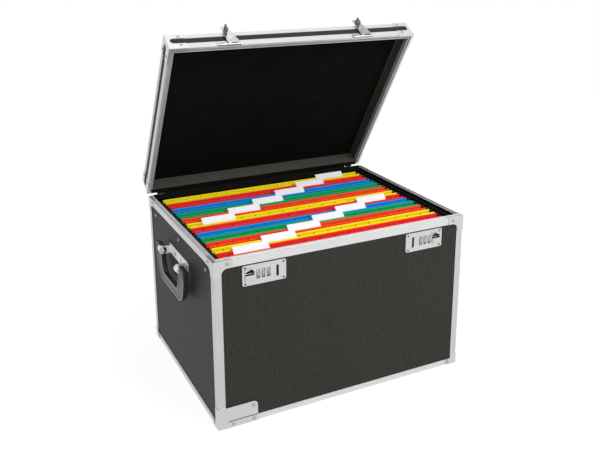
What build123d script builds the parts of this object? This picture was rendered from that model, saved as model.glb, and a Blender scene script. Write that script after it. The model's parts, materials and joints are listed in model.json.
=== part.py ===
from build123d import *
import os

os.makedirs("parts", exist_ok=True)

# The box's frame: the origin is on the floor under the middle of the case, +X runs to the right
# seen from the locks, +Y from the locks to the hinge, +Z up. Lengths in mm, angles in degrees.

# Overall sizes, over the corner caps
case_length = 430.0
case_depth = 328.0
case_height = 266.0
lid_height = 32.0
lid_gap = 0.5
lid_open_angle = 57.0

# Boards, and the folded aluminium that holds them
board = 6.0
profile_wall = 1.0
cap_wall = 0.8
mitre_gap = 0.2
rim_leg = 11.0
rim_lap = 5.0
corner_leg = 12.0
bottom_leg = 9.0
lid_edge_leg = 8.0
profile_edge_radius = 2.0

# Tongue on the case's rim and the groove for it in the lid's rim
tongue_inset = 4.4
tongue_wall = 1.2
tongue_height = 3.0
groove_inset = 3.4
groove_depth = 4.5

# Corner caps
top_cap_arm = 30.0
top_cap_drop = 24.0
top_cap_round = 10.0
bottom_cap_arm = 23.0
bottom_cap_rise = 17.0
bottom_cap_round = 6.0
front_plate_length = 63.2
front_plate_height = 34.0
front_plate_round = 7.0
front_plate_slit = 1.4
front_plate_slit_height = 10.8
front_plate_slit_length = 47.0
lid_cap_arm = 30.0

# Rivets
rivet_head_radius = 2.6
rivet_head_height = 0.8
rivet_radius = 1.5
rivet_clearance = 0.05
rivet_grip = 5.5
cap_rivet_from_corner = 21.3
bottom_rivet_from_corner = 18.0
bottom_rivet_height = 5.0
plate_rivet_inset = 6.5
plate_rivet_spacing = 32.5
cap_rivet_rise = 1.0
hinge_rivet_edge = 1.0

# Hinge along the back
hinge_end_gap = 2.0
hinge_knuckle_count = 15
hinge_knuckle_gap = 0.5
hinge_out = 5.0
hinge_down = 8.0
hinge_pin_radius = 1.5
hinge_knuckle_radius = 3.5
hinge_clearance = 0.05
hinge_leaf_wall = 1.5
hinge_case_leaf_drop = 13.0
hinge_case_leaf_rise = 5.0
hinge_lid_leaf_start = 1.2
hinge_lid_leaf_height = 9.0
hinge_strap_gap = 0.8
hinge_rivet_count = 6
hinge_rivet_from_end = 13.0

# Rails inside the two ends, and the files that hang on them
rail_end_gap = 6.2
rail_wall = 1.2
rail_reach = 9.2
rail_leg = 12.0
rail_lip = 4.0
rail_below_rim = 14.0
rail_rivet_count = 3
rail_rivet_drop = 6.0
rail_rivet_from_end = 22.5
file_count = 12
file_rear_clearance = 4.1
file_front_clearance = 11.0
file_drift = [0.0, 1.8, 5.5, 7.9, 9.7, 10.4, 8.9, 8.6, 5.9, 3.0, 3.0, 0.0]
file_mouth = 18.5
file_below_rim = 7.0
file_floor_gap = 11.2
file_fold_gap = 0.2
file_header_end_gap = 13.7
file_body_end_gap = 24.7
file_header_height = 13.0
leaf_wall = 0.8
bar_end_gap = 4.2
bar_wall = 1.6
bar_gap = 0.8
bar_drop = 1.5
bar_height = 9.0
bar_seat_gap = 0.3
bar_notch_room = 1.5
tab_length = 57.0
tab_rise = 9.0
tab_wall = 0.8
tab_drop = 4.0
tab_ahead = 7.6
tab_header_inset = 25.5
tab_step = 54.8
tabs_in_series = 6

# Combination locks on the front; sizes of the left one, the right one is its mirror image
lock_from_end = 77.4
lock_below_rim = 29.0
lock_plate_length = 68.4
lock_plate_height = 31.0
lock_plate_wall = 2.0
lock_plate_round = 3.0
lock_room_length = 64.0
lock_room_height = 21.0
lock_room_wall = 1.0
lock_room_clearance = 0.3
lock_screw_x = 29.9
lock_screw_z = 12.3
screw_head_radius = 2.2
screw_head_height = 0.6
screw_radius = 1.1
screw_length = 6.0
dial_radius = 8.5
dial_width = 5.0
dial_chamfer = 0.4
dial_proud = 0.8
dial_window_width = 5.6
dial_window_height = 14.0
dial_window_round = 1.0
dial_pitch = 8.2
dial_outboard = 1.6
spindle_radius = 1.5
spindle_clearance = 0.05
spindle_cheek = 1.2
spindle_cheek_gap = 1.6
dial_back_clearance = 0.8
slot_inboard = 20.6
slot_width = 4.0
slot_length = 17.4
slot_round = 1.3
slot_drop = 0.3
slider_outboard = 22.9
slider_width = 14.6
slider_window_below = 8.0
slider_window_above = 9.2
slider_travel = 5.5
slider_top_room = 2.5
slider_proud = 2.0
slider_round = 1.0
slider_clearance = 0.25
slider_flange_lap = 0.6
slider_flange_wall = 1.4

# Hasps on the lid's rim
hasp_hinge_height = 0.3
hasp_hinge_out = 2.6
hasp_base_wall = 1.0
hasp_base_height = 9.0
hasp_base_left = 21.0
hasp_base_right = 16.0
hasp_knuckle_radius = 1.5
hasp_pin_radius = 0.7
hasp_pin_clearance = 0.05
hasp_wall = 1.0
hasp_left = 5.0
hasp_right = 13.0
hasp_shoulder = 15.5
hasp_shoulder_start = 1.8
hasp_shoulder_rise = 4.5
hasp_tip = 5.0
hasp_length = 41.0
hasp_end_gap = 0.5
staple_length = 11.5
staple_depth = 9.0
staple_wall = 2.4
staple_eye_length = 6.0
staple_eye_depth = 4.5

# Handles on the two ends
handle_pivot_below_rim = 53.0
handle_pivot_out = 14.8
handle_drop = 56.0
handle_band = 11.0
handle_wall = 9.0
handle_turn_radius = 20.0
handle_edge_radius = 2.5
handle_pin_radius = 2.5
handle_pin_grip = 7.5
handle_pin_clearance = 0.05
bracket_length = 140.0
bracket_height = 16.0
bracket_wall = 1.5
bracket_ear = 4.0
bracket_ear_radius = 6.0
bracket_ear_gap = 0.5
bracket_rivet_count = 4
bracket_rivet_from_end = 25.0

# Values that follow from the sizes above
half_length = case_length / 2
half_depth = case_depth / 2
frame_x = half_length - cap_wall
frame_y = half_depth - cap_wall
board_x = frame_x - profile_wall
board_y = frame_y - profile_wall
inner_x = board_x - board
inner_y = board_y - board
base_z = cap_wall + profile_wall
floor_z = base_z + board
rim_z = case_height - cap_wall
board_top = rim_z - profile_wall
rim_width = board + 2 * profile_wall
lid_z = case_height + lid_gap
lid_rim_z = lid_z + cap_wall
lid_top = lid_z + lid_height
lid_frame_top = lid_top - cap_wall
lid_board_top = lid_frame_top - profile_wall
lid_ceiling = lid_board_top - board
lid_wall_bottom = lid_rim_z + groove_depth
cap_rim_width = cap_wall + groove_inset
hinge_length = case_length - 2 * (max(top_cap_arm, lid_cap_arm) + hinge_end_gap)
hinge_y = half_depth + hinge_out
hinge_z = case_height - hinge_down
hinge_axis = Axis((0, hinge_y, hinge_z), (1, 0, 0))
rail_top = case_height - rail_below_rim
ledge_top = rail_top - rail_lip
rail_half = inner_y - rail_end_gap
file_top = case_height - file_below_rim
file_fold = floor_z + file_floor_gap
file_header_half = inner_x - file_header_end_gap
file_body_half = inner_x - file_body_end_gap
bar_top = file_top - bar_drop
bar_bottom = bar_top - bar_height
lock_x = half_length - lock_from_end
lock_z = case_height - lock_below_rim
dial_centres = [lock_x + dial_outboard + step * dial_pitch for step in (-1, 0, 1)]
slot_x = lock_x - slot_inboard
slot_z = lock_z - slot_drop
slider_x = lock_x + slider_outboard
slider_window_z = (lock_z - slider_window_below, lock_z + slider_window_above)
pivot_x = board_x + handle_pivot_out
pivot_z = case_height - handle_pivot_below_rim

sides = ["front", "back", "left", "right"]


def finish(piece, name):
    """Name a finished piece and write it out."""
    piece.part.label = name
    export_step(piece.part, f"parts/{name}.step")


def open_with_lid(piece):
    """Turn a piece that was drawn with the lid shut to where the lid stands open."""
    piece.part = piece.part.rotate(hinge_axis, -lid_open_angle)


def mitred_slab(side, outer, inner, low, high):
    """Add one side of a mitred frame: a slab between two insets from the frame's outer face."""
    lengthwise = side in ("front", "back")
    along, across = (frame_x, frame_y) if lengthwise else (frame_y, frame_x)
    facing = -1 if side in ("front", "left") else 1
    corners = []
    for inset, end in ((outer, -1), (outer, 1), (inner, 1), (inner, -1)):
        corners.append((end * (along - inset - mitre_gap), facing * (across - inset)))
    if not lengthwise:
        corners = [(x, y) for y, x in corners]
    with BuildSketch(Plane.XY.offset(low)) as slab:
        with BuildLine():
            Polyline(*corners, close=True)
        make_face()
    extrude(slab.sketch, amount=high - low)


def block(x_range, y_range, z_range, mode=Mode.ADD):
    """Add or cut a block between three pairs of planes."""
    sizes = [high - low for low, high in (x_range, y_range, z_range)]
    middle = [(low + high) / 2 for low, high in (x_range, y_range, z_range)]
    with Locations(tuple(middle)):
        Box(*sizes, mode=mode)


def drill(planes, radius, depth):
    """Cut a round hole inwards from each plane."""
    with BuildSketch(*planes) as mouths:
        Circle(radius)
    extrude(mouths.sketch, amount=-depth, mode=Mode.SUBTRACT)


def stud(planes, head_radius, head_height, shank_radius, grip):
    """Add a headed shank at each plane, with the head outside."""
    with BuildSketch(*planes) as heads:
        Circle(head_radius)
    extrude(heads.sketch, amount=head_height)
    with BuildSketch(*planes) as shanks:
        Circle(shank_radius)
    extrude(shanks.sketch, amount=-grip)


def rod(start, end, y, z, radius, mode=Mode.ADD):
    """Add or cut a round rod that lies along X."""
    with BuildSketch(Plane(origin=(start, y, z), x_dir=(0, 1, 0), z_dir=(1, 0, 0))) as section:
        Circle(radius)
    extrude(section.sketch, amount=end - start, mode=mode)


def face_planes(from_corner, heights):
    """Planes on the upright faces, at one distance from each corner, facing outwards."""
    planes = []
    for height in heights:
        for x_side in (-1, 1):
            for y_side in (-1, 1):
                on_face = (x_side * (half_length - from_corner), y_side * half_depth, height)
                planes.append(Plane(origin=on_face, x_dir=(1, 0, 0), z_dir=(0, y_side, 0)))
                on_end = (x_side * half_length, y_side * (half_depth - from_corner), height)
                planes.append(Plane(origin=on_end, x_dir=(0, 1, 0), z_dir=(x_side, 0, 0)))
    return planes


def row(count, length):
    """Evenly spaced places along a length, centred on zero."""
    return [length * (place / (count - 1) - 0.5) for place in range(count)]


# Rivet places
top_cap_rivets = face_planes(cap_rivet_from_corner, [rim_z - rim_leg / 2 + cap_rivet_rise])
front_plate_end = front_plate_length - half_length
bottom_cap_rivets = [
    plane
    for plane in face_planes(bottom_rivet_from_corner, [bottom_rivet_height])
    if plane.origin.X > 0 or plane.origin.Y > 0 or plane.z_dir.X < 0
]
plate_rivet_spots = [
    (front_plate_end - plate_rivet_inset, front_plate_height - plate_rivet_inset),
    (front_plate_end - plate_rivet_inset, bottom_rivet_height),
    (front_plate_end - plate_rivet_inset - plate_rivet_spacing, bottom_rivet_height),
]
front_plate_rivets = [
    Plane(origin=(x, -half_depth, z), x_dir=(1, 0, 0), z_dir=(0, -1, 0)) for x, z in plate_rivet_spots
]
lid_cap_rivets = face_planes(
    cap_rivet_from_corner, [lid_wall_bottom + rivet_head_radius, lid_frame_top - lid_edge_leg / 2]
)
hinge_rivet_x = row(hinge_rivet_count, hinge_length - 2 * hinge_rivet_from_end)
leaf_face_y = frame_y + hinge_leaf_wall
case_leaf_rivet_z = hinge_z - hinge_case_leaf_drop + rivet_head_radius + hinge_rivet_edge
lid_leaf_bottom = lid_rim_z + hinge_lid_leaf_start
lid_leaf_rivet_z = lid_leaf_bottom + hinge_lid_leaf_height - rivet_head_radius - hinge_rivet_edge
case_leaf_rivets = [
    Plane(origin=(x, leaf_face_y, case_leaf_rivet_z), x_dir=(-1, 0, 0), z_dir=(0, 1, 0))
    for x in hinge_rivet_x
]
lid_leaf_rivets = [
    Plane(origin=(x, leaf_face_y, lid_leaf_rivet_z), x_dir=(-1, 0, 0), z_dir=(0, 1, 0))
    for x in hinge_rivet_x
]
rail_rivets = []
bracket_rivet_planes = []
for end in (-1, 1):
    for y in row(rail_rivet_count, 2 * (rail_half - rail_rivet_from_end)):
        on_wall = (end * board_x, y, ledge_top - rail_rivet_drop)
        rail_rivets.append(Plane(origin=on_wall, x_dir=(0, 1, 0), z_dir=(end, 0, 0)))
    for y in row(bracket_rivet_count, bracket_length - 2 * bracket_rivet_from_end):
        on_bracket = (end * (board_x + bracket_wall), y, pivot_z)
        bracket_rivet_planes.append(Plane(origin=on_bracket, x_dir=(0, 1, 0), z_dir=(end, 0, 0)))
rivet_hole = rivet_radius + rivet_clearance
rivet_hole_depth = rivet_grip + rivet_clearance
case_rivet_planes = top_cap_rivets + bottom_cap_rivets + front_plate_rivets + case_leaf_rivets
wall_rivet_planes = case_rivet_planes + bracket_rivet_planes

# ---------------------------------------------------------------- boards of the case
lock_room_x = (lock_x - lock_room_length / 2, lock_x + lock_room_length / 2)
lock_room_z = (lock_z - lock_room_height / 2, lock_z + lock_room_height / 2)
lock_face_y = -board_y - lock_plate_wall
dial_y = lock_face_y - dial_proud + dial_radius
lock_back_y = dial_y + dial_radius + dial_back_clearance + lock_room_wall
screw_planes = [
    Plane(origin=(x, lock_face_y, z), x_dir=(1, 0, 0), z_dir=(0, -1, 0))
    for middle in (-lock_x, lock_x)
    for x in (middle - lock_screw_x, middle + lock_screw_x)
    for z in (lock_z - lock_screw_z, lock_z + lock_screw_z)
]

with BuildPart() as bottom_panel:
    block((-board_x, board_x), (-board_y, board_y), (base_z, floor_z))
    drill(case_rivet_planes, rivet_hole, rivet_hole_depth)
finish(bottom_panel, "bottom_panel")

with BuildPart() as front_panel:
    block((-inner_x, inner_x), (-board_y, -inner_y), (floor_z, board_top))
    drill(case_rivet_planes, rivet_hole, rivet_hole_depth)
    drill(screw_planes, screw_radius + rivet_clearance, screw_length + rivet_clearance)
    for side in (-1, 1):
        cut_x = sorted(side * x for x in lock_room_x)
        block(
            (cut_x[0] - lock_room_clearance, cut_x[1] + lock_room_clearance),
            (-board_y, -inner_y),
            (lock_room_z[0] - lock_room_clearance, lock_room_z[1] + lock_room_clearance),
            mode=Mode.SUBTRACT,
        )
finish(front_panel, "front_panel")

with BuildPart() as back_panel:
    block((-inner_x, inner_x), (inner_y, board_y), (floor_z, board_top))
    drill(case_rivet_planes, rivet_hole, rivet_hole_depth)
finish(back_panel, "back_panel")

with BuildPart() as left_panel:
    block((-board_x, -inner_x), (-board_y, board_y), (floor_z, board_top))
    drill(wall_rivet_planes, rivet_hole, rivet_hole_depth)
    drill(rail_rivets, rivet_hole, board)
finish(left_panel, "left_panel")

with BuildPart() as right_panel:
    mirror(left_panel.part, about=Plane.YZ)
finish(right_panel, "right_panel")

# ---------------------------------------------------------------- profiles of the case
with BuildPart() as bottom_profiles:
    for side in sides:
        mitred_slab(side, 0, profile_wall, cap_wall, cap_wall + bottom_leg)
        mitred_slab(side, 0, bottom_leg, cap_wall, cap_wall + profile_wall)
    drill(case_rivet_planes, rivet_hole, rivet_hole_depth)
finish(bottom_profiles, "bottom_profiles")

corner_low = cap_wall + bottom_leg
corner_high = rim_z - rim_leg
with BuildPart() as corner_profiles:
    with BuildSketch(Plane.XY.offset(corner_low)) as corner_section:
        with BuildLine():
            Polyline(
                (-frame_x, -frame_y),
                (-frame_x + corner_leg, -frame_y),
                (-frame_x + corner_leg, -board_y),
                (-board_x, -board_y),
                (-board_x, -frame_y + corner_leg),
                (-frame_x, -frame_y + corner_leg),
                close=True,
            )
        make_face()
        outer_edge = corner_section.vertices().sort_by_distance((-frame_x, -frame_y))[0]
        fillet(outer_edge, radius=profile_edge_radius)
    extrude(amount=corner_high - corner_low)
    mirror(about=Plane.YZ)
    mirror(about=Plane.XZ)
finish(corner_profiles, "corner_profiles")

with BuildPart() as case_rim_profiles:
    for side in sides:
        mitred_slab(side, 0, profile_wall, rim_z - rim_leg, rim_z)
        mitred_slab(side, 0, rim_width, rim_z - profile_wall, rim_z)
        mitred_slab(side, rim_width - profile_wall, rim_width, rim_z - rim_lap, rim_z)
        mitred_slab(side, tongue_inset, tongue_inset + tongue_wall, rim_z, rim_z + tongue_height)
    drill(case_rivet_planes, rivet_hole, rivet_hole_depth)
finish(case_rim_profiles, "case_rim_profiles")

# ---------------------------------------------------------------- corner caps of the case
corner_point = (-half_length, -half_depth)
corner_diagonal = Plane(origin=(*corner_point, 0), x_dir=(0, 0, 1), z_dir=(1, -1, 0))


def corner_flange(arm, width, low):
    """Add the flat part of a corner cap, an L that lies on the profiles."""
    left, front = corner_point
    with BuildSketch(Plane.XY.offset(low)) as flange:
        with BuildLine():
            Polyline(
                (left, front),
                (left + arm, front),
                (left + arm, front + width),
                (left + width, front + width),
                (left + width, front + arm),
                (left, front + arm),
                close=True,
            )
        make_face()
    extrude(flange.sketch, amount=cap_wall)


def corner_edge(piece):
    """Find the upright outer edge of a corner cap."""
    upright = piece.edges().filter_by(Axis.Z)
    return upright.sort_by_distance((*corner_point, upright[0].center().Z))[0]


def four_corners():
    """Repeat what is drawn at the front left corner at the other three."""
    mirror(about=Plane.YZ)
    mirror(about=Plane.XZ)


front_face = Plane(origin=(-half_length, -half_depth, 0), x_dir=(1, 0, 0), z_dir=(0, -1, 0))

with BuildPart() as top_corner_caps:
    with BuildSketch(front_face) as top_cap_face:
        with BuildLine():
            Polyline(
                (0, case_height),
                (top_cap_arm, case_height),
                (top_cap_arm, rim_z - rim_leg),
                (corner_leg, rim_z - rim_leg),
                (corner_leg, case_height - top_cap_drop),
                (0, case_height - top_cap_drop),
                close=True,
            )
        make_face()
        inner_corner = top_cap_face.vertices().sort_by_distance((corner_leg, rim_z - rim_leg))[0]
        fillet(inner_corner, radius=top_cap_round)
    extrude(amount=-cap_wall)
    mirror(about=corner_diagonal)
    corner_flange(top_cap_arm, cap_rim_width, rim_z)
    fillet(corner_edge(top_corner_caps), radius=profile_edge_radius)
    four_corners()
    drill(case_rivet_planes, rivet_hole, rivet_hole_depth)
finish(top_corner_caps, "top_corner_caps")

with BuildPart() as front_corner_plate:
    with BuildSketch(front_face) as front_plate_face:
        with BuildLine():
            Polyline(
                (0, 0),
                (front_plate_length, 0),
                (front_plate_length, front_plate_height),
                (0, front_plate_height),
                close=True,
            )
        make_face()
        far_corner = (front_plate_length, front_plate_height)
        fillet(front_plate_face.vertices().sort_by_distance(far_corner)[0], radius=front_plate_round)
        slit_middle = front_plate_length - front_plate_slit_length / 2
        with Locations((slit_middle, front_plate_slit_height)):
            Rectangle(front_plate_slit_length, front_plate_slit, mode=Mode.SUBTRACT)
    extrude(amount=-cap_wall)
    with BuildSketch(Plane.YZ.offset(-half_length)):
        with BuildLine():
            Polyline(
                (-half_depth, 0),
                (-half_depth + bottom_cap_arm, 0),
                (-half_depth + bottom_cap_arm, corner_low),
                (-half_depth + corner_leg, corner_low),
                (-half_depth + corner_leg, front_plate_height),
                (-half_depth, front_plate_height),
                close=True,
            )
        make_face()
    extrude(amount=cap_wall)
    corner_flange(bottom_cap_arm, bottom_leg, 0)
    fillet(corner_edge(front_corner_plate), radius=profile_edge_radius)
    drill(front_plate_rivets + bottom_cap_rivets, rivet_hole, rivet_hole_depth)
finish(front_corner_plate, "front_corner_plate")

with BuildPart() as bottom_corner_caps:
    with BuildSketch(front_face) as bottom_cap_face:
        with BuildLine():
            Polyline(
                (0, 0),
                (bottom_cap_arm, 0),
                (bottom_cap_arm, corner_low),
                (corner_leg, corner_low),
                (corner_leg, bottom_cap_rise),
                (0, bottom_cap_rise),
                close=True,
            )
        make_face()
        inner_corner = bottom_cap_face.vertices().sort_by_distance((corner_leg, corner_low))[0]
        fillet(inner_corner, radius=bottom_cap_round)
    extrude(amount=-cap_wall)
    mirror(about=corner_diagonal)
    corner_flange(bottom_cap_arm, bottom_leg, 0)
    fillet(corner_edge(bottom_corner_caps), radius=profile_edge_radius)
    four_corners()
    block((-case_length, 0), (-case_depth, 0), (-cap_wall, case_height), mode=Mode.SUBTRACT)
    drill(bottom_cap_rivets, rivet_hole, rivet_hole_depth)
finish(bottom_corner_caps, "bottom_corner_caps")

with BuildPart() as case_rivets:
    stud(case_rivet_planes, rivet_head_radius, rivet_head_height, rivet_radius, rivet_grip)
    stud(bracket_rivet_planes, rivet_head_radius, rivet_head_height, rivet_radius, rivet_grip)
    stud(rail_rivets, rivet_head_radius, rivet_head_height, rivet_radius, board + rail_wall)
finish(case_rivets, "case_rivets")

# ---------------------------------------------------------------- rails for the files
with BuildPart() as left_file_rail:
    lip_x = -inner_x + rail_reach
    with BuildSketch(Plane.XZ.offset(-rail_half)):
        with BuildLine():
            Polyline(
                (-inner_x, ledge_top),
                (-inner_x, ledge_top - rail_leg),
                (-inner_x + rail_wall, ledge_top - rail_leg),
                (-inner_x + rail_wall, ledge_top - rail_wall),
                (lip_x, ledge_top - rail_wall),
                (lip_x, rail_top),
                (lip_x - rail_wall, rail_top),
                (lip_x - rail_wall, ledge_top),
                close=True,
            )
        make_face()
    extrude(amount=2 * rail_half)
    drill(rail_rivets, rivet_hole, board + 2 * rail_wall)
finish(left_file_rail, "left_file_rail")

with BuildPart() as right_file_rail:
    mirror(left_file_rail.part, about=Plane.YZ)
finish(right_file_rail, "right_file_rail")

# ---------------------------------------------------------------- files
rear_place = inner_y - file_rear_clearance
front_place = lock_back_y + file_front_clearance + file_mouth
file_pitch = (rear_place - front_place) / (file_count - 1)
notch_left = lip_x - rail_wall - bar_notch_room
notch_right = lip_x + bar_notch_room
notch_top = rail_top + bar_seat_gap


def leaf(top_y, fold_y, inward):
    """Add one leaf of a file, from its top edge down to the fold, its wall on the inner side."""
    with BuildSketch(Plane.YZ.offset(-file_header_half)) as side_view:
        with BuildLine():
            Polyline(
                (top_y, file_top),
                (top_y + inward * leaf_wall, file_top),
                (fold_y - inward * file_fold_gap / 2, file_fold),
                (fold_y - inward * (file_fold_gap / 2 + leaf_wall), file_fold),
                close=True,
            )
        make_face()
    extrude(side_view.sketch, amount=2 * file_header_half)
    shoulder_z = file_top - file_header_height
    for end in (-1, 1):
        outside = sorted((end * file_body_half, end * (file_header_half + leaf_wall)))
        block(outside, (-half_depth, half_depth), (0, shoulder_z), mode=Mode.SUBTRACT)


def bar(front_face_y):
    """Add the steel bar of one leaf, with a notch over the rail at each end."""
    with BuildSketch(Plane.XZ.offset(-front_face_y - bar_wall)) as bar_face:
        with Locations((0, (bar_bottom + bar_top) / 2)):
            Rectangle(2 * (inner_x - bar_end_gap), bar_height)
        for end in (-1, 1):
            notch_middle = end * (notch_left + notch_right) / 2
            with Locations((notch_middle, (bar_bottom + notch_top) / 2)):
                Rectangle(notch_right - notch_left, notch_top - bar_bottom, mode=Mode.SUBTRACT)
    extrude(bar_face.sketch, amount=bar_wall)


for number in range(1, file_count + 1):
    rear_y = rear_place - (number - 1) * file_pitch - file_drift[number - 1]
    front_y = rear_y - file_mouth
    fold_y = (rear_y + front_y) / 2
    tab_place = tabs_in_series - 1 - (number - 1) % tabs_in_series
    tab_left = -file_header_half + tab_header_inset + tab_place * tab_step
    tab_y = rear_y - tab_ahead
    tab_bottom = file_top - tab_drop
    with BuildPart() as hanging_file:
        leaf(rear_y, fold_y, -1)
        leaf(front_y, fold_y, 1)
        bar(rear_y - leaf_wall - bar_gap - bar_wall)
        bar(front_y + leaf_wall + bar_gap)
        with BuildSketch(Plane.YZ.offset(tab_left)):
            with BuildLine():
                Polyline(
                    (tab_y, tab_bottom),
                    (tab_y + tab_wall, tab_bottom),
                    (tab_y + tab_rise + tab_wall, tab_bottom + tab_rise),
                    (tab_y + tab_rise, tab_bottom + tab_rise),
                    close=True,
                )
            make_face()
        extrude(amount=tab_length)
    finish(hanging_file, f"file_{number:02d}")

# ---------------------------------------------------------------- combination locks
room_inner_x = (lock_room_x[0] + lock_room_wall, lock_room_x[1] - lock_room_wall)
room_inner_z = (lock_room_z[0] + lock_room_wall, lock_room_z[1] - lock_room_wall)
cheek_low = min(dial_centres) - dial_width / 2 - spindle_cheek_gap - spindle_cheek
cheek_high = max(dial_centres) + dial_width / 2 + spindle_cheek_gap
lock_face = Plane(origin=(0, lock_face_y, 0), x_dir=(1, 0, 0), z_dir=(0, -1, 0))

with BuildPart() as left_lock_case:
    with BuildSketch(lock_face):
        with Locations((-lock_x, lock_z)):
            RectangleRounded(lock_plate_length, lock_plate_height, lock_plate_round)
    extrude(amount=-lock_plate_wall)
    block((-lock_room_x[1], -lock_room_x[0]), (-board_y, lock_back_y), lock_room_z)
    block(
        (-room_inner_x[1], -room_inner_x[0]),
        (-board_y, lock_back_y - lock_room_wall),
        room_inner_z,
        mode=Mode.SUBTRACT,
    )
    for cheek in (cheek_low, cheek_high):
        block((-cheek - spindle_cheek, -cheek), (-board_y, lock_back_y - lock_room_wall), room_inner_z)
    with BuildSketch(lock_face):
        for centre in dial_centres:
            with Locations((-centre, lock_z)):
                RectangleRounded(dial_window_width, dial_window_height, dial_window_round)
        with Locations((-slot_x, slot_z)):
            RectangleRounded(slot_width, slot_length, slot_round)
        with Locations((-slider_x, sum(slider_window_z) / 2)):
            Rectangle(slider_width, slider_window_z[1] - slider_window_z[0])
    extrude(amount=-lock_plate_wall, mode=Mode.SUBTRACT)
    rod(
        -cheek_high - spindle_cheek,
        -cheek_low,
        dial_y,
        lock_z,
        spindle_radius + spindle_clearance,
        mode=Mode.SUBTRACT,
    )
    drill(screw_planes, screw_radius + rivet_clearance, screw_length)
finish(left_lock_case, "left_lock_case")

with BuildPart() as left_lock_spindle:
    rod(-cheek_high - spindle_cheek, -cheek_low, dial_y, lock_z, spindle_radius)
finish(left_lock_spindle, "left_lock_spindle")

for number, centre in enumerate(dial_centres, start=1):
    for side, name in ((-1, "left"), (1, "right")):
        with BuildPart() as dial:
            start = side * centre - dial_width / 2
            rod(start, start + dial_width, dial_y, lock_z, dial_radius)
            rims = dial.edges().filter_by(GeomType.CIRCLE)
            chamfer(rims, length=dial_chamfer)
            bore = spindle_radius + spindle_clearance
            rod(start, start + dial_width, dial_y, lock_z, bore, mode=Mode.SUBTRACT)
        finish(dial, f"{name}_dial_{number}")

with BuildPart() as left_lock_slider:
    thumb_half = slider_width / 2 - slider_clearance
    thumb_x = (-slider_x - thumb_half, -slider_x + thumb_half)
    thumb_top = slider_window_z[1] - slider_travel - slider_top_room
    thumb_z = (slider_window_z[0] + slider_clearance, thumb_top)
    block(thumb_x, (lock_face_y - slider_proud, -board_y), thumb_z)
    outer_edges = left_lock_slider.edges().filter_by(Axis.X).group_by(Axis.Y)[0]
    fillet(outer_edges, radius=slider_round)
    flange_y = (-board_y + slider_clearance, -board_y + slider_clearance + slider_flange_wall)
    block(
        (thumb_x[0] - slider_flange_lap, thumb_x[1] + slider_flange_lap),
        flange_y,
        (thumb_z[0] - slider_flange_lap, thumb_z[1] + slider_flange_lap),
    )
    block(thumb_x, (-board_y, flange_y[0]), thumb_z)
finish(left_lock_slider, "left_lock_slider")

for name, original in (
    ("right_lock_case", left_lock_case),
    ("right_lock_spindle", left_lock_spindle),
    ("right_lock_slider", left_lock_slider),
):
    with BuildPart() as twin:
        mirror(original.part, about=Plane.YZ)
    finish(twin, name)

with BuildPart() as lock_screws:
    stud(screw_planes, screw_head_radius, screw_head_height, screw_radius, screw_length)
finish(lock_screws, "lock_screws")

# ---------------------------------------------------------------- handles
ear_inner = bracket_length / 2 - bracket_ear
arm_outer = ear_inner - bracket_ear_gap
arm_middle = arm_outer - handle_band / 2
bar_middle = pivot_z - handle_drop + handle_band / 2

with BuildPart() as left_handle_bracket:
    bracket_z = (pivot_z - bracket_height / 2, pivot_z + bracket_height / 2)
    block((-board_x - bracket_wall, -board_x), (-bracket_length / 2, bracket_length / 2), bracket_z)
    for y in (-bracket_length / 2, ear_inner):
        with BuildSketch(Plane.XZ.offset(-y - bracket_ear)):
            with Locations((-pivot_x, pivot_z)):
                Circle(bracket_ear_radius)
            with Locations((-(pivot_x + board_x) / 2, pivot_z)):
                Rectangle(handle_pivot_out, 2 * bracket_ear_radius)
        extrude(amount=bracket_ear)
    pivot_plane = Plane(
        origin=(-pivot_x, -bracket_length, pivot_z), x_dir=(1, 0, 0), z_dir=(0, 1, 0)
    )
    with BuildSketch(pivot_plane):
        Circle(handle_pin_radius + handle_pin_clearance)
    extrude(amount=2 * bracket_length, mode=Mode.SUBTRACT)
    drill(bracket_rivet_planes, rivet_hole, rivet_hole_depth)
finish(left_handle_bracket, "left_handle_bracket")

with BuildPart() as left_handle:
    with BuildSketch(Plane.YZ.offset(-pivot_x - handle_wall / 2)):
        with BuildLine() as handle_path:
            FilletPolyline(
                (-arm_middle, pivot_z),
                (-arm_middle, bar_middle),
                (arm_middle, bar_middle),
                (arm_middle, pivot_z),
                radius=handle_turn_radius,
            )
        trace(handle_path.line, line_width=handle_band)
    extrude(amount=handle_wall)
    broad_faces = left_handle.faces().filter_by(Axis.X)
    fillet(broad_faces.edges(), radius=handle_edge_radius)
    for y_side in (-1, 1):
        bore_plane = Plane(
            origin=(-pivot_x, y_side * arm_outer, pivot_z),
            x_dir=(1, 0, 0),
            z_dir=(0, y_side, 0),
        )
        drill([bore_plane], handle_pin_radius + handle_pin_clearance, handle_pin_grip)
finish(left_handle, "left_handle")

with BuildPart() as handle_pins:
    for x_side in (-1, 1):
        for y_side in (-1, 1):
            pin_plane = Plane(
                origin=(x_side * pivot_x, y_side * bracket_length / 2, pivot_z),
                x_dir=(1, 0, 0),
                z_dir=(0, y_side, 0),
            )
            with BuildSketch(pin_plane):
                Circle(handle_pin_radius)
            pin_length = bracket_ear + bracket_ear_gap + handle_pin_grip - handle_pin_clearance
            extrude(amount=-pin_length)
finish(handle_pins, "handle_pins")

for name, original in (("right_handle_bracket", left_handle_bracket), ("right_handle", left_handle)):
    with BuildPart() as twin:
        mirror(original.part, about=Plane.YZ)
    finish(twin, name)

# ---------------------------------------------------------------- hinge
knuckle_pitch = hinge_length / hinge_knuckle_count
strap_y = (hinge_y - hinge_knuckle_radius, hinge_y - hinge_knuckle_radius + hinge_leaf_wall)
knuckle_top = hinge_z + hinge_knuckle_radius


def knuckle_starts(first):
    """Left ends of every second knuckle."""
    return [
        -hinge_length / 2 + knuckle_pitch * place + hinge_knuckle_gap / 2
        for place in range(first, hinge_knuckle_count, 2)
    ]


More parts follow.
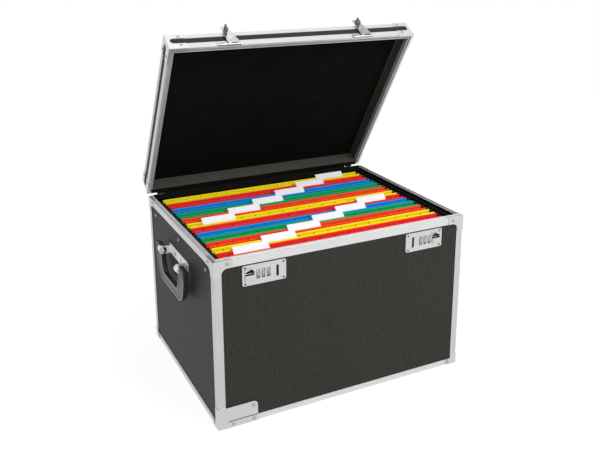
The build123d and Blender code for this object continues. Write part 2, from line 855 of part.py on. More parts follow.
knuckle_length = knuckle_pitch - hinge_knuckle_gap
hinge_bore = hinge_pin_radius + hinge_clearance

with BuildPart() as hinge_case_leaf:
    leaf_z = (hinge_z - hinge_case_leaf_drop, hinge_z + hinge_case_leaf_rise)
    block((-hinge_length / 2, hinge_length / 2), (frame_y, leaf_face_y), leaf_z)
    for start in knuckle_starts(0):
        rod(start, start + knuckle_length, hinge_y, hinge_z, hinge_knuckle_radius)
        web_z = (hinge_z - hinge_knuckle_radius, hinge_z - hinge_knuckle_radius + hinge_leaf_wall)
        block((start, start + knuckle_length), (leaf_face_y, hinge_y), web_z)
    rod(-hinge_length / 2, hinge_length / 2, hinge_y, hinge_z, hinge_bore, mode=Mode.SUBTRACT)
    drill(case_leaf_rivets, rivet_hole, rivet_hole_depth)
finish(hinge_case_leaf, "hinge_case_leaf")

with BuildPart() as hinge_pin:
    rod(-hinge_length / 2, hinge_length / 2, hinge_y, hinge_z, hinge_pin_radius)
finish(hinge_pin, "hinge_pin")

with BuildPart() as hinge_lid_leaf:
    lid_leaf_z = (lid_leaf_bottom, lid_leaf_bottom + hinge_lid_leaf_height)
    block((-hinge_length / 2, hinge_length / 2), (frame_y, leaf_face_y), lid_leaf_z)
    shelf_z = (lid_leaf_bottom, lid_leaf_bottom + hinge_leaf_wall)
    block((-hinge_length / 2, hinge_length / 2), (leaf_face_y, strap_y[1]), shelf_z)
    strap_z = (knuckle_top + hinge_strap_gap, shelf_z[1])
    block((-hinge_length / 2, hinge_length / 2), strap_y, strap_z)
    for start in knuckle_starts(1):
        rod(start, start + knuckle_length, hinge_y, hinge_z, hinge_knuckle_radius)
        block((start, start + knuckle_length), strap_y, (hinge_z, strap_z[0]))
    rod(-hinge_length / 2, hinge_length / 2, hinge_y, hinge_z, hinge_bore, mode=Mode.SUBTRACT)
    drill(lid_leaf_rivets, rivet_hole, rivet_hole_depth)
open_with_lid(hinge_lid_leaf)
finish(hinge_lid_leaf, "hinge_lid_leaf")

# ---------------------------------------------------------------- lid, drawn shut and then opened
lid_rivet_planes = lid_cap_rivets + lid_leaf_rivets

with BuildPart() as lid_panel:
    block((-board_x, board_x), (-board_y, board_y), (lid_ceiling, lid_board_top))
    drill(lid_rivet_planes, rivet_hole, rivet_hole_depth)
open_with_lid(lid_panel)
finish(lid_panel, "lid_panel")

for name, x_range, y_range in (
    ("lid_front_wall", (-inner_x, inner_x), (-board_y, -inner_y)),
    ("lid_back_wall", (-inner_x, inner_x), (inner_y, board_y)),
    ("lid_left_wall", (-board_x, -inner_x), (-board_y, board_y)),
    ("lid_right_wall", (inner_x, board_x), (-board_y, board_y)),
):
    with BuildPart() as lid_wall:
        block(x_range, y_range, (lid_wall_bottom, lid_ceiling))
        drill(lid_rivet_planes, rivet_hole, rivet_hole_depth)
    open_with_lid(lid_wall)
    finish(lid_wall, name)

with BuildPart() as lid_edge_profiles:
    for side in sides:
        mitred_slab(side, 0, profile_wall, lid_frame_top - lid_edge_leg, lid_frame_top)
        mitred_slab(side, 0, bottom_leg, lid_frame_top - profile_wall, lid_frame_top)
    drill(lid_rivet_planes, rivet_hole, rivet_hole_depth)
open_with_lid(lid_edge_profiles)
finish(lid_edge_profiles, "lid_edge_profiles")

with BuildPart() as lid_rim_profiles:
    web_z = (lid_wall_bottom - profile_wall, lid_wall_bottom)
    for side in sides:
        mitred_slab(side, 0, profile_wall, lid_rim_z, lid_rim_z + rim_leg)
        mitred_slab(side, 0, groove_inset, lid_rim_z, lid_rim_z + profile_wall)
        mitred_slab(side, groove_inset - profile_wall, groove_inset, lid_rim_z, lid_wall_bottom)
        mitred_slab(side, groove_inset - profile_wall, rim_width, *web_z)
        mitred_slab(side, rim_width - profile_wall, rim_width, lid_rim_z, web_z[0] + rim_lap)
    drill(lid_rivet_planes, rivet_hole, rivet_hole_depth)
open_with_lid(lid_rim_profiles)
finish(lid_rim_profiles, "lid_rim_profiles")

rim_arm_top = lid_rim_z + rim_leg
edge_arm_bottom = lid_frame_top - lid_edge_leg
arm_gap = edge_arm_bottom - rim_arm_top
with BuildPart() as lid_corner_caps:
    with BuildSketch(front_face):
        with Locations((lid_cap_arm / 2, (lid_z + lid_top) / 2)):
            Rectangle(lid_cap_arm, lid_height)
        with Locations(((corner_leg + lid_cap_arm) / 2, (rim_arm_top + edge_arm_bottom) / 2)):
            Rectangle(lid_cap_arm - corner_leg, arm_gap, mode=Mode.SUBTRACT)
        with Locations((corner_leg, (rim_arm_top + edge_arm_bottom) / 2)):
            Circle(arm_gap / 2, mode=Mode.SUBTRACT)
    extrude(amount=-cap_wall)
    mirror(about=corner_diagonal)
    corner_flange(lid_cap_arm, bottom_leg, lid_frame_top)
    corner_flange(lid_cap_arm, cap_rim_width, lid_z)
    fillet(corner_edge(lid_corner_caps), radius=profile_edge_radius)
    four_corners()
    drill(lid_rivet_planes, rivet_hole, rivet_hole_depth)
open_with_lid(lid_corner_caps)
finish(lid_corner_caps, "lid_corner_caps")

with BuildPart() as lid_rivets:
    stud(lid_rivet_planes, rivet_head_radius, rivet_head_height, rivet_radius, rivet_grip)
open_with_lid(lid_rivets)
finish(lid_rivets, "lid_rivets")

# ---------------------------------------------------------------- hasps, drawn sprung up
hasp_y = -frame_y - hasp_hinge_out
hasp_z = lid_rim_z + hasp_hinge_height
hasp_face = Plane(origin=(0, hasp_y + hasp_wall / 2, hasp_z), x_dir=(1, 0, 0), z_dir=(0, -1, 0))


def base_knuckles(slot):
    """Ends of the two knuckles that a hasp's base has, either side of the hasp."""
    return (
        (slot - hasp_base_left, slot - hasp_left - hasp_end_gap),
        (slot + hasp_right + hasp_end_gap, slot + hasp_base_right),
    )


with BuildPart() as hasp_bases:
    for slot in (-slot_x, slot_x):
        base_x = (slot - hasp_base_left, slot + hasp_base_right)
        block(base_x, (-frame_y - hasp_base_wall, -frame_y), (hasp_z, hasp_z + hasp_base_height))
        for start, end in base_knuckles(slot):
            rod(start, end, hasp_y, hasp_z, hasp_knuckle_radius)
            block((start, end), (hasp_y, -frame_y), (hasp_z, hasp_z + hasp_knuckle_radius))
            rod(start, end, hasp_y, hasp_z, hasp_pin_radius + hasp_pin_clearance, mode=Mode.SUBTRACT)
open_with_lid(hasp_bases)
finish(hasp_bases, "hasp_bases")

with BuildPart() as hasp_pins:
    for slot in (-slot_x, slot_x):
        rod(slot - hasp_base_left, slot + hasp_base_right, hasp_y, hasp_z, hasp_pin_radius)
open_with_lid(hasp_pins)
finish(hasp_pins, "hasp_pins")

for name, slot in (("left_hasp", -slot_x), ("right_hasp", slot_x)):
    with BuildPart() as hasp:
        with BuildSketch(hasp_face):
            with BuildLine():
                Polyline(
                    (slot - hasp_left, 0),
                    (slot + hasp_right, 0),
                    (slot + hasp_right, hasp_shoulder_start),
                    (slot + hasp_shoulder, hasp_shoulder_rise),
                    (slot + hasp_tip, hasp_length),
                    (slot - hasp_left, hasp_length),
                    close=True,
                )
            make_face()
        extrude(amount=hasp_wall)
        rod(slot - hasp_left, slot + hasp_right, hasp_y, hasp_z, hasp_knuckle_radius)
        staple_y = (hasp_y - hasp_wall / 2 - staple_depth, hasp_y)
        staple_middle = 2 * hasp_z - slot_z
        staple_z = (staple_middle - staple_length / 2, staple_middle + staple_length / 2)
        block((slot - staple_wall / 2, slot + staple_wall / 2), staple_y, staple_z)
        eye_y = staple_y[0] + staple_depth / 2
        block(
            (slot - staple_wall, slot + staple_wall),
            (eye_y - staple_eye_depth / 2, eye_y + staple_eye_depth / 2),
            (staple_middle - staple_eye_length / 2, staple_middle + staple_eye_length / 2),
            mode=Mode.SUBTRACT,
        )
        bore = hasp_pin_radius + hasp_pin_clearance
        rod(slot - hasp_left, slot + hasp_right, hasp_y, hasp_z, bore, mode=Mode.SUBTRACT)
    open_with_lid(hasp)
    finish(hasp, name)
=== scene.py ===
import json
import math

import bmesh
import bpy
from mathutils import Matrix, Vector

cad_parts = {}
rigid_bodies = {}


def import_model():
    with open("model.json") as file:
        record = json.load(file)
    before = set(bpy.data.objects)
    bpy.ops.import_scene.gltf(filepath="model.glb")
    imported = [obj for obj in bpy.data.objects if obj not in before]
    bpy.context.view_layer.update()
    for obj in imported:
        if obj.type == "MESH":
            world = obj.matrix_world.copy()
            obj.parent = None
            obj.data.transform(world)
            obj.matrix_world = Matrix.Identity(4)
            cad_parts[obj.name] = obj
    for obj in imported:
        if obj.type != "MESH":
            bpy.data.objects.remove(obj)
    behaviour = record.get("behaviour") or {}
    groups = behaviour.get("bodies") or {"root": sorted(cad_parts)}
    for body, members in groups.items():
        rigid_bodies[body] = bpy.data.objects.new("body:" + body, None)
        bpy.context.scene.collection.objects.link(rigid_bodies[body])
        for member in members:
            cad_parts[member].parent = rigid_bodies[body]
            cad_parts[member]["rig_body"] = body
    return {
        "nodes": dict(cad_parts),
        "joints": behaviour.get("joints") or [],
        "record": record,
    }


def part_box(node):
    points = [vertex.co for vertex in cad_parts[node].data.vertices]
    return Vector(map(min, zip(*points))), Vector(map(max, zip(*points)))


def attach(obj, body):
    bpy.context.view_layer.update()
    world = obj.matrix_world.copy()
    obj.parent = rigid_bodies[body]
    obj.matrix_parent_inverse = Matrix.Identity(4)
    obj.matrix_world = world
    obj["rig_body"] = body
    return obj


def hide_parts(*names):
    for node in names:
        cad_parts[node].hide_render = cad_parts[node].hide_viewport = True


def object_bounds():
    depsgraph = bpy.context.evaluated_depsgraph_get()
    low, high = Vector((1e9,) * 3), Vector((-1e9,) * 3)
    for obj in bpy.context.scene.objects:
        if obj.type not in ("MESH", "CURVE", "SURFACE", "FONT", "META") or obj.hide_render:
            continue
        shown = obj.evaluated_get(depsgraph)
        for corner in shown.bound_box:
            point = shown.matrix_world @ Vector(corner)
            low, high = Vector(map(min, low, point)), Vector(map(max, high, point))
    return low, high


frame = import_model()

# The looks of a portable file box, in metres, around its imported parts: boards covered with black
# vinyl, aluminium profiles, plated caps and locks, and twelve hanging files. The lid stands open.
MM = 0.001
cad_low, cad_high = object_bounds()

# ---------------------------------------------------------------- places read from the frame
joints = {joint["name"]: joint for joint in frame["joints"]}
hinge_place = Vector(joints["lid_hinge"]["pos_m"])
lid_angle = math.radians(-joints["lid_hinge"]["range_deg"][0])
board_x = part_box("right_panel")[1].x
board_y = -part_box("front_panel")[0].y
board_wall = 6.0 * MM
panel_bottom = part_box("bottom_panel")[0].z
case_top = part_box("top_corner_caps")[1].z
rim_back, tongue_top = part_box("case_rim_profiles")[1].yz
rim_top = tongue_top - 3.0 * MM

# From the lid's open place to where it would be when shut, about the hinge, and back
shut_turn = Matrix.Rotation(lid_angle, 4, "X")
shut_lid = Matrix.Translation(hinge_place) @ shut_turn @ Matrix.Translation(-hinge_place)
open_lid = shut_lid.inverted()


# ---------------------------------------------------------------- shader maths
class Signal:
    """One output of a shader node. Python's operators on it add the Math nodes that they stand for."""

    def __init__(self, graph, socket):
        self.graph = graph
        self.socket = socket

    def __add__(self, other):
        return self.graph.maths("ADD", self, other)

    def __radd__(self, other):
        return self.graph.maths("ADD", other, self)

    def __sub__(self, other):
        return self.graph.maths("SUBTRACT", self, other)

    def __rsub__(self, other):
        return self.graph.maths("SUBTRACT", other, self)

    def __mul__(self, other):
        return self.graph.maths("MULTIPLY", self, other)

    def __rmul__(self, other):
        return self.graph.maths("MULTIPLY", other, self)

    def __mod__(self, other):
        return self.graph.maths("FLOORED_MODULO", self, other)

    def __gt__(self, other):
        return self.graph.maths("GREATER_THAN", self, other)

    def __lt__(self, other):
        return self.graph.maths("LESS_THAN", self, other)

    def __or__(self, other):
        return self.graph.maths("MAXIMUM", self, other)

    def __abs__(self):
        return self.graph.maths("ABSOLUTE", self)

    def sine(self):
        return self.graph.maths("SINE", self)

    def beside(self, output):
        """Another output of the same node."""
        return Signal(self.graph, self.socket.node.outputs[output])


class Graph:
    """The shader nodes of a material or of the world."""

    def __init__(self, tree):
        self.tree = tree

    def node(self, kind, inputs, output=0, stops=(), **settings):
        """Add one node: its settings and ramp stops first, then the values or links of its sockets."""
        made = self.tree.nodes.new(kind)
        for name, value in settings.items():
            setattr(made, name, value)
        for index, (position, tone) in enumerate(stops):
            made.color_ramp.elements[index].position = position
            made.color_ramp.elements[index].color = tone
        for name, value in inputs.items():
            self.feed(made.inputs[name], value)
        return Signal(self, made.outputs[output])

    def feed(self, socket, value):
        if isinstance(value, Signal):
            self.tree.links.new(value.socket, socket)
        else:
            socket.default_value = value

    def maths(self, operation, *values):
        return self.node("ShaderNodeMath", dict(enumerate(values)), operation=operation)

    def seen(self):
        """1 to the camera, to reflections and through clear pieces, and 0 to the light on surfaces."""
        path = self.node("ShaderNodeLightPath", {}, output="Is Camera Ray")
        return path | path.beside("Is Glossy Ray") | path.beside("Is Transmission Ray")

    def shared(self, factor, first, second):
        """Mix two shaders."""
        return self.node("ShaderNodeMixShader", {0: factor, 1: first, 2: second})


class Finish(Graph):
    """A material in the making, with its principled shader."""

    def __init__(self, name):
        self.material = bpy.data.materials.new(name)
        self.material.use_nodes = True
        super().__init__(self.material.node_tree)
        self.shader = self.tree.nodes["Principled BSDF"]

    def give(self, **sockets):
        """Set or link sockets of the principled shader, named with underscores for spaces."""
        for name, value in sockets.items():
            self.feed(self.shader.inputs[name.replace("_", " ")], value)

    def point(self, lid=False):
        """The place on the piece; on the lid, the place that it would have with the lid shut."""
        place = self.node("ShaderNodeTexCoord", {}, output="Object")
        if lid:
            turn = {"Vector": place, "Rotation": (lid_angle, 0, 0), "Location": shut_lid.translation}
            place = self.node("ShaderNodeMapping", turn)
        return place

    def split(self, vector):
        x = self.node("ShaderNodeSeparateXYZ", {0: vector})
        return x, x.beside(1), x.beside(2)

    def join(self, x, y, z):
        return self.node("ShaderNodeCombineXYZ", {"X": x, "Y": y, "Z": z})

    def noise(self, vector, size, detail=2.0, roughness=0.5):
        """Smooth noise from 0 to 1 with features of about the given size."""
        inputs = {"Vector": vector, "Scale": 1 / size, "Detail": detail, "Roughness": roughness}
        return self.node("ShaderNodeTexNoise", inputs)

    def mix(self, factor, first, second):
        """Mix two colours."""
        inputs = {0: factor, 6: first, 7: second}
        return self.node("ShaderNodeMix", inputs, output=2, data_type="RGBA")

    def blend(self, factor, first, second):
        """Mix two numbers."""
        return self.node("ShaderNodeMix", {0: factor, 2: first, 3: second}, data_type="FLOAT")

    def ramp(self, factor, *stops):
        """A colour ramp between two (position, colour) stops."""
        return self.node("ShaderNodeValToRGB", {0: factor}, stops=stops)

    def bump(self, height, depth):
        """Raise the surface by a height of 0 to 1 over the given depth in metres."""
        inputs = {"Height": height, "Distance": depth, "Strength": 1.0}
        self.give(Normal=self.node("ShaderNodeBump", inputs))


def colour(red, green, blue):
    return (red, green, blue, 1.0)


def grey(value):
    return colour(value, value, value)


# ---------------------------------------------------------------- finishes
outer_skin = 0.6 * MM
rib_pitch = 4.4 * MM
rib_sway = 1.0 * MM
rib_sway_length = 14.0 * MM
rib_depth = 0.28 * MM


def vinyl_board(name, lid=False):
    """Black vinyl: wavy embossed ribs on the outer sides and under the case, plain dark grey elsewhere."""
    finish = Finish(name)
    place = finish.point(lid)
    x, y, z = finish.split(place)
    on_end = abs(x) > board_x - outer_skin
    outside = on_end | (abs(y) > board_y - outer_skin)
    if not lid:
        outside = outside | (z < panel_bottom + outer_skin)
    along = finish.blend(on_end, y + z, y)
    across = finish.blend(on_end, x, z)
    flat_place = finish.join(across, along, 0.0)
    wander = finish.noise(flat_place, 26 * MM, detail=1.0) - 0.5
    sway = (along * (2 * math.pi / rib_sway_length) + wander * 7.0).sine() * rib_sway
    ribs = ((across + sway + wander * (2.0 * MM)) * (2 * math.pi / rib_pitch)).sine()
    broken = finish.noise(flat_place, 7 * MM, detail=1.0)
    emboss = (ribs * 0.5 + 0.5) * (0.25 + broken * 1.5)
    grain = finish.noise(place, 0.5 * MM, detail=3.0, roughness=0.7)
    cloud = finish.noise(place, 60 * MM)
    # The colour follows the rib height: the lighter rows are painted highlight along the embossed ribs;
    # grain and cloud are the vinyl's own tone.
    skin = finish.ramp(
        emboss * 0.70 + grain * 0.12 + cloud * 0.12,
        (0.08, colour(0.0198, 0.0192, 0.0158)), (0.90, colour(0.0410, 0.0397, 0.0336)),
    )
    scuff = finish.noise(finish.join(x, y, z * 0.3), 9 * MM, detail=4.0, roughness=0.7)
    lining = finish.ramp(scuff, (0.3, colour(0.052, 0.049, 0.043)), (0.8, colour(0.066, 0.063, 0.055)))
    finish.give(
        Base_Color=finish.mix(outside, lining, skin),
        Roughness=finish.blend(outside, 0.62, 0.50 + grain * 0.14 - emboss * 0.08),
        Specular_IOR_Level=0.10,
    )
    finish.bump(finish.blend(outside, grain * 0.06, emboss * 0.9 + grain * 0.08), rib_depth)
    return finish.material


def dark_lining(name):
    """The near-black matt finish of the sheets that line the case and the lid's ceiling; their darkness is
    painted shade.
    """
    finish = Finish(name)
    place = finish.point()
    nap = finish.noise(place, 1.5 * MM, detail=3.0, roughness=0.7)
    cloud = finish.noise(place, 40 * MM)
    skin = finish.ramp(
        nap * 0.5 + cloud * 0.5,
        (0.3, colour(0.0035, 0.0034, 0.0028)), (0.7, colour(0.0070, 0.0068, 0.0058)),
    )
    finish.give(Base_Color=skin, Roughness=0.82 + nap * 0.12, Specular_IOR_Level=0.04)
    finish.bump(nap, 0.05 * MM)
    return finish.material


def brushed_metal(name, tone, lid=False, brush=(1, 40, 40), roughness=0.30, warm=0.0, metallic=1.0,
                  turn_sides=False, contrast=0.10):
    """Metal with fine brush lines, longest along the axis where brush is smallest."""
    finish = Finish(name)
    place = finish.point(lid)
    x, y, z = finish.split(place)
    if turn_sides:
        on_end = abs(x) - board_x > abs(y) - board_y
        x, y = finish.blend(on_end, x, y), finish.blend(on_end, y, x)
    lines_place = finish.join(x * brush[0], y * brush[1], z * brush[2])
    lines = finish.noise(lines_place, 24 * MM, detail=3.0, roughness=0.6)
    smears = finish.noise(place, 22 * MM, detail=3.0, roughness=0.6)
    low, high = tone * (1 - contrast), min(tone * (1 + contrast * 0.6), 1.0)
    skin = finish.ramp(
        lines * 0.65 + smears * 0.35,
        (0.25, colour(low, low * (1 - warm), low * (1 - 2 * warm))),
        (0.75, colour(high, high * (1 - warm * 0.6), high * (1 - warm))),
    )
    finish.give(
        Base_Color=skin,
        Metallic=metallic,
        Roughness=roughness - 0.05 + lines * 0.10 + smears * 0.06,
    )
    finish.bump(lines, 0.02 * MM)
    return finish.material


def satin_plastic(name, tone, roughness=0.38, spread=0.22, shine=0.5):
    """Moulded plastic or paint with a fine grain."""
    finish = Finish(name)
    place = finish.point()
    grain = finish.noise(place, 0.8 * MM, detail=3.0, roughness=0.65)
    wear = finish.noise(place, 14 * MM, detail=3.0, roughness=0.6)
    low = colour(*(part * (1 - spread) for part in tone))
    high = colour(*(min(part * (1 + spread), 1.0) for part in tone))
    finish.give(
        Base_Color=finish.ramp(wear * 0.7 + grain * 0.3, (0.3, low), (0.7, high)),
        Roughness=roughness + wear * 0.12 - grain * 0.05,
        Specular_IOR_Level=shine,
    )
    finish.bump(grain, 0.04 * MM)
    return finish.material


# The files' heads: what the slots and the crease of the card line up with
file_top = case_top - 7.0 * MM
head_height = 13.0 * MM
head_crease_z = file_top - 1.6 * MM
crease_half = 0.35 * MM
slot_row_z = file_top - 5.0 * MM
slot_pitch = 25.0 * MM
slot_width = 1.7 * MM
slot_height = 3.4 * MM


def card(name, tone, dark):
    """Coloured card: paper fibre, faint mottling, and painted shade in the small punched slots along the
    head and along its crease.
    """
    finish = Finish(name)
    place = finish.point()
    x, y, z = finish.split(place)
    fibre = finish.noise(finish.join(x, y, z * 3), 1.2 * MM, detail=3.0, roughness=0.7)
    mottle = finish.noise(place, 30 * MM)
    sheet = finish.ramp(
        fibre * 0.35 + mottle * 0.65,
        (0.3, colour(*(part * 0.93 for part in tone))), (0.7, colour(*tone)),
    )
    # The slots are not cut through: the near-black mixed in there is painted shade seen through them.
    from_slot = abs((x + slot_pitch / 2) % slot_pitch - slot_pitch / 2)
    in_slot = (from_slot < slot_width / 2) * (abs(z - slot_row_z) < slot_height / 2)
    # The darker line along the fold of the head is painted shade in the crease.
    crease = (abs(z - head_crease_z) < crease_half) * 0.45
    skin = finish.mix(crease, sheet, colour(*dark))
    finish.give(
        Base_Color=finish.mix(in_slot, skin, colour(*(part * 0.12 for part in dark))),
        Roughness=0.62 + fibre * 0.15,
        Specular_IOR_Level=0.25,
    )
    finish.bump(fibre, 0.03 * MM)
    return finish.material


case_board = vinyl_board("case_vinyl")
lid_board = vinyl_board("lid_vinyl", lid=True)
# near-black: painted shade inside the case, under the lid's ceiling and on the rim's inner lap
interior_shade = dark_lining("interior_painted_shade")

case_profile = brushed_metal("case_profile_metal", 0.66, turn_sides=True, roughness=0.46, metallic=0.6)
post_metal = brushed_metal("corner_post_metal", 0.56, brush=(40, 40, 1), roughness=0.38, metallic=0.9)
lid_profile = brushed_metal(
    "lid_profile_metal", 0.62, lid=True, turn_sides=True, roughness=0.42, metallic=0.6,
)
cap_metal = brushed_metal("cap_metal", 0.60, brush=(30, 30, 4), roughness=0.34, warm=0.01, metallic=0.85)
lid_cap_metal = brushed_metal(
    "lid_cap_metal", 0.66, lid=True, brush=(30, 30, 4), roughness=0.30, metallic=0.85,
)
# dark: painted shade lines along the narrow cut edges of caps, plates and lock cases
edge_shade_metal = brushed_metal("cut_edge_shade", 0.24, brush=(8, 8, 8), roughness=0.45, warm=0.05)
rivet_metal = brushed_metal("rivet_metal", 0.46, brush=(8, 8, 8), roughness=0.28, warm=0.10, contrast=0.3)
screw_metal = brushed_metal("screw_metal", 0.52, brush=(8, 8, 8), roughness=0.4, warm=0.06)
bracket_metal = brushed_metal("bracket_metal", 0.86, brush=(6, 1, 6), roughness=0.42, metallic=0.3)
lock_metal = brushed_metal("lock_metal", 0.60, brush=(3, 30, 30), roughness=0.40, metallic=0.85)
lock_works = brushed_metal("lock_works_metal", 0.22, brush=(8, 8, 8), roughness=0.5)
# The hasps' strong light and dark blotches are painted reflection, for the dark reflections of polished
# chrome.
hasp_metal = brushed_metal("hasp_metal", 0.50, lid=True, brush=(5, 5, 5), roughness=0.16, contrast=0.5)
staple_metal = brushed_metal("staple_metal", 0.16, brush=(8, 8, 8), roughness=0.25, contrast=0.4)
hinge_metal = brushed_metal("hinge_metal", 0.78, brush=(2, 30, 30))

# near-black: painted shade in the gap at the hinge
gap_shade_black = satin_plastic("hinge_gap_shade_black", (0.0075, 0.0072, 0.006), roughness=0.85, shine=0.06)
wall_grey = satin_plastic("lid_wall_grey", (0.060, 0.057, 0.050), roughness=0.6, shine=0.15)
# near-black: painted shade in the screws' driver recesses, the finger recesses over the sliders and the
# hasps' slots
recess_shade = satin_plastic("recess_painted_shade", (0.016, 0.012, 0.012), roughness=0.8, shine=0.1)
dial_grey = satin_plastic("dial_grey", (0.26, 0.26, 0.26), roughness=0.42)
figure_grey = satin_plastic("figure_grey", (0.66, 0.66, 0.65), roughness=0.4)
handle_plastic = satin_plastic("handle_plastic", (0.012, 0.012, 0.011), roughness=0.40)
# On the dark handle, the seams' pale grey is painted highlight along the raised beads and the band's mid
# grey is painted light on its outward face.
seam_highlight = satin_plastic("handle_seam_highlight", (0.34, 0.325, 0.30), roughness=0.42)
band_lit = satin_plastic("handle_band_lit", (0.085, 0.084, 0.078), roughness=0.45)
rail_paint = satin_plastic("rail_paint", (0.008, 0.008, 0.008), roughness=0.5)
bar_paint = satin_plastic("bar_paint", (0.015, 0.015, 0.016), roughness=0.35)
tab_clear = satin_plastic("tab_clear", (0.80, 0.80, 0.83), roughness=0.25, spread=0.03)
label_white = satin_plastic("label_white", (0.85, 0.85, 0.88), roughness=0.5, spread=0.02)

# The second, darker tone of each card is painted shade in its crease and slots.
card_tones = {
    "yellow": ((1.0, 0.82, 0.0), (0.50, 0.36, 0.0)),
    "red": ((0.94, 0.024, 0.022), (0.30, 0.004, 0.004)),
    "blue": ((0.0, 0.26, 0.78), (0.0, 0.06, 0.25)),
    "green": ((0.0, 0.40, 0.12), (0.0, 0.12, 0.03)),
    "orange_red": ((1.0, 0.065, 0.010), (0.36, 0.012, 0.002)),
}
cards = {name: card(f"card_{name}", *tones) for name, tones in card_tones.items()}
card_order = (list(card_tones) * 3)[:12]


# ---------------------------------------------------------------- mesh tools
def add_piece(name, bm, body, slot, *materials):
    """Turn a bmesh into a piece of the object that rides on a body."""
    mesh = bpy.data.meshes.new(name)
    bm.to_mesh(mesh)
    bm.free()
    for material in materials:
        mesh.materials.append(material)
    mesh.shade_smooth()
    mesh.set_sharp_from_angle(angle=math.radians(30))
    piece = bpy.data.objects.new(name, mesh)
    bpy.context.scene.collection.objects.link(piece)
    even = piece.modifiers.new("even_shading", "WEIGHTED_NORMAL")
    even.keep_sharp = True
    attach(piece, body)
    return piece


def body_of(node):
    return frame["nodes"][node]["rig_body"]


def slot_of(node):
    return next(row["material_slot"] for row in frame["record"]["subparts"] if row["node"] == node)


def dress(node, ending, bm, *materials, instead=True):
    """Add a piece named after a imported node, on its body, and by default in its place."""
    piece = add_piece(f"{node}.{ending}", bm, body_of(node), slot_of(node), *materials)
    if instead:
        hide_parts(node)


def verts_in(geometry):
    return [part for part in geometry if isinstance(part, bmesh.types.BMVert)]


def span(edge, axis):
    return abs(edge.verts[0].co[axis] - edge.verts[1].co[axis])


def block(bm, low, high):
    """Add a block between two corners."""
    low, high = Vector(low), Vector(high)
    size = Matrix.Diagonal((*(high - low), 1.0))
    made = bmesh.ops.create_cube(bm, size=1.0, matrix=Matrix.Translation((low + high) / 2) @ size)
    return made["verts"]


def turned(bm, radius, y_from, y_to, x, z, segments=32):
    """Add a round bar that lies along Y."""
    place = Matrix.Translation((x, (y_from + y_to) / 2, z)) @ Matrix.Rotation(math.radians(90), 4, "X")
    bmesh.ops.create_cone(
        bm, cap_ends=True, segments=segments, radius1=radius, radius2=radius,
        depth=abs(y_to - y_from), matrix=place,
    )


def bevel(bm, geometry, width, segments, affect="EDGES", clamp=False):
    bmesh.ops.bevel(
        bm, geom=list(geometry), offset=width, segments=segments, profile=0.5, affect=affect,
        material=-1, clamp_overlap=clamp,
    )


def soften(bm, width, segments=2, angle=30.0):
    """Round every edge that is sharper than the angle."""
    sharp = [
        edge for edge in bm.edges
        if len(edge.link_faces) == 2 and edge.calc_face_angle(0.0) > math.radians(angle)
    ]
    bevel(bm, sharp, width, segments, clamp=True)


def deepened(bm, face, depth):
    """Draw a flat face out by a vector into a closed plate."""
    made = bmesh.ops.extrude_face_region(bm, geom=[face], use_keep_orig=True)["geom"]
    bmesh.ops.translate(bm, verts=verts_in(made), vec=depth)
    bmesh.ops.recalc_face_normals(bm, faces=bm.faces)


def drawn_along_x(bm, half, places):
    """Add an open sheet: a bent line through (y, z) places, drawn from -half to half along X."""
    verts = [bm.verts.new((-half, y, z)) for y, z in places]
    edges = [bm.edges.new(pair) for pair in zip(verts, verts[1:])]
    moved = verts_in(bmesh.ops.extrude_edge_only(bm, edges=edges)["geom"])
    bmesh.ops.translate(bm, verts=moved, vec=(2 * half, 0, 0))
    return verts + moved


def walled(bm, thickness):
    """Give an open sheet its thickness, all of it on the inner side."""
    bmesh.ops.recalc_face_normals(bm, faces=bm.faces)
    bmesh.ops.solidify(bm, geom=bm.faces[:], thickness=thickness)
    bmesh.ops.recalc_face_normals(bm, faces=bm.faces)


def merged_copy(node):
    """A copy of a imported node's mesh with its loose triangles joined."""
    bm = bmesh.new()
    bm.from_mesh(frame["nodes"][node].data)
    bmesh.ops.remove_doubles(bm, verts=bm.verts, dist=0.002 * MM)
    bmesh.ops.dissolve_limit(
        bm, angle_limit=math.radians(1.0), use_dissolve_boundaries=False, verts=bm.verts,
        edges=bm.edges, delimit=set(),
    )
    return bm


def rounded(node, width, material, second=None, is_second=None, segments=2):
    """Stand a copy of a node, with its edges rounded, in the node's place.

    Faces that is_second picks get the second material.
    """
    bm = merged_copy(node)
    materials = [material]
    if second:
        materials.append(second)
        for face in bm.faces:
            face.material_index = int(is_second(face))
    soften(bm, width, segments)
    dress(node, "rounded", bm, *materials)


def paint(node, material):
    """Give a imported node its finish."""
    mesh = frame["nodes"][node].data
    mesh.materials.clear()
    mesh.materials.append(material)


def for_end(bm, side):
    """Leave the left end's shape as it is, or turn it into the right end's."""
    if side == "right":
        bm.transform(Matrix.Scale(-1, 4, (1, 0, 0)))
        bmesh.ops.reverse_faces(bm, faces=bm.faces)


# ---------------------------------------------------------------- boards, rails and pins
for node in ("bottom_panel", "front_panel", "back_panel", "left_panel", "right_panel"):
    paint(node, case_board)
for node in ("lid_panel", "lid_front_wall", "lid_back_wall", "lid_left_wall", "lid_right_wall"):
    paint(node, lid_board)
for node in ("left_file_rail", "right_file_rail"):
    paint(node, rail_paint)
for node in ("left_lock_spindle", "right_lock_spindle"):
    paint(node, lock_works)
for node in ("hinge_pin", "hasp_pins", "handle_pins"):
    paint(node, rivet_metal)

# ---------------------------------------------------------------- profiles, caps and hardware
fold_radius = 0.35 * MM
cap_radius = 0.2 * MM
hasp_radius = 0.25 * MM
slider_radius = 0.4 * MM
screw_radius = 0.3 * MM
rivet_crown = 0.6 * MM
lap_width = 6.6 * MM
sheet_limit = 1.3 * MM
square_on = 0.9998
staple_start = 10 * MM
blackened_reach = 7.5 * MM
hasp_corners = [shut_lid @ Vector(corner) for corner in frame["nodes"]["left_hasp"].bound_box]
hasp_low = min(corner.z for corner in hasp_corners)
hasp_front = -board_y - 4.1 * MM


